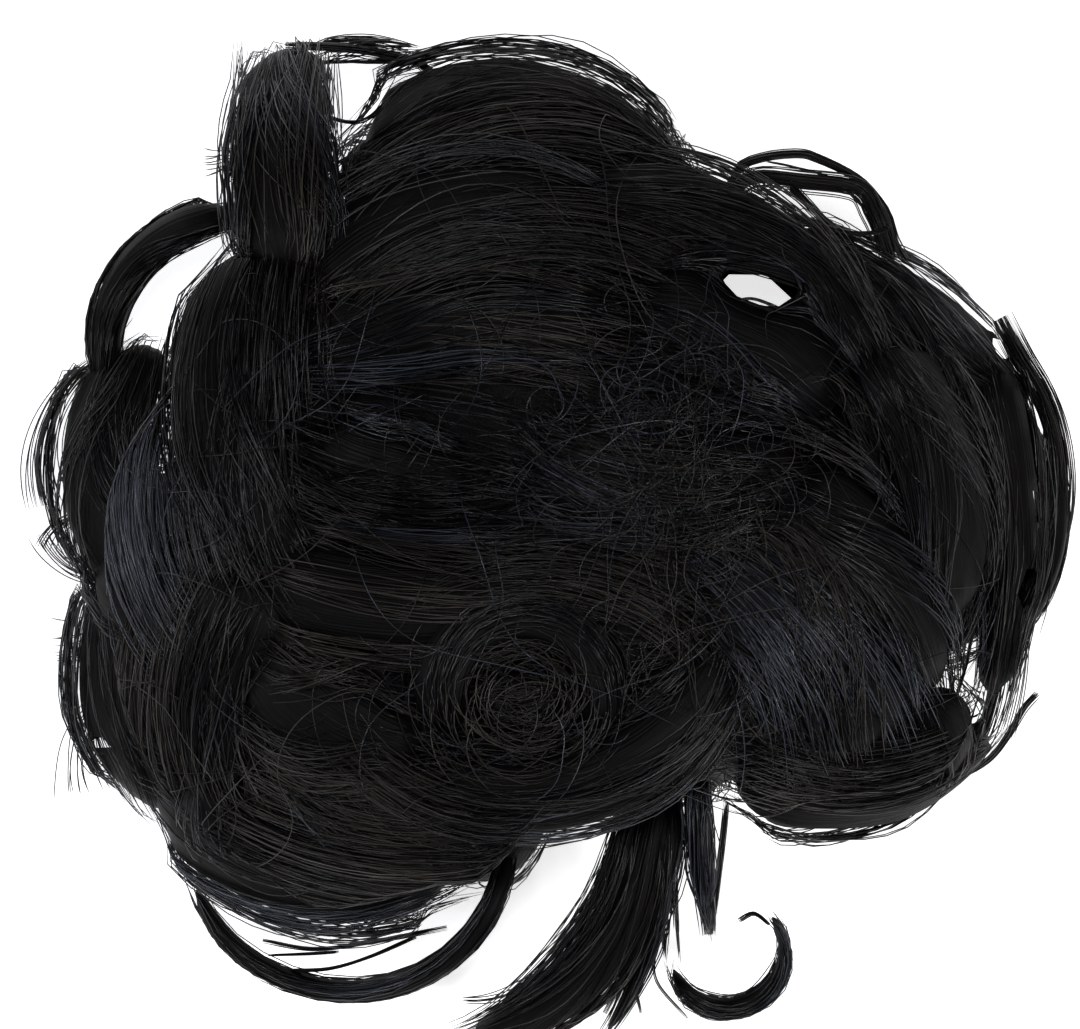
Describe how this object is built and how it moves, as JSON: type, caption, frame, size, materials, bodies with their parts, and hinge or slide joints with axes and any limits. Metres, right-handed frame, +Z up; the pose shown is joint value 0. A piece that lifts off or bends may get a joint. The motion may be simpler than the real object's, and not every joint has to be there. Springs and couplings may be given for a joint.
{
  "type": "messy bun hairpiece",
  "caption": "Scrunchie-type messy bun hairpiece: a dome of black curled locks sewn round a stretchy ring that the wearer's hair goes through.",
  "frame": {"origin": "on the surface that the bun lies on, under the middle of its box", "axes": "+Z up out of the curls, +X to the bun's right and +Y to its top, seen from above"},
  "size_m": [0.1738, 0.1744, 0.064],
  "materials": {
    "hair": "black curled fibre with a soft sheen",
    "weft": "sewn black weft",
    "elastic": "woven black elastic"
  },
  "bodies": {
    "root": {"hair_bun": "hair", "weft_ring": "weft", "elastic_band": "elastic"}
  },
  "joints": []
}
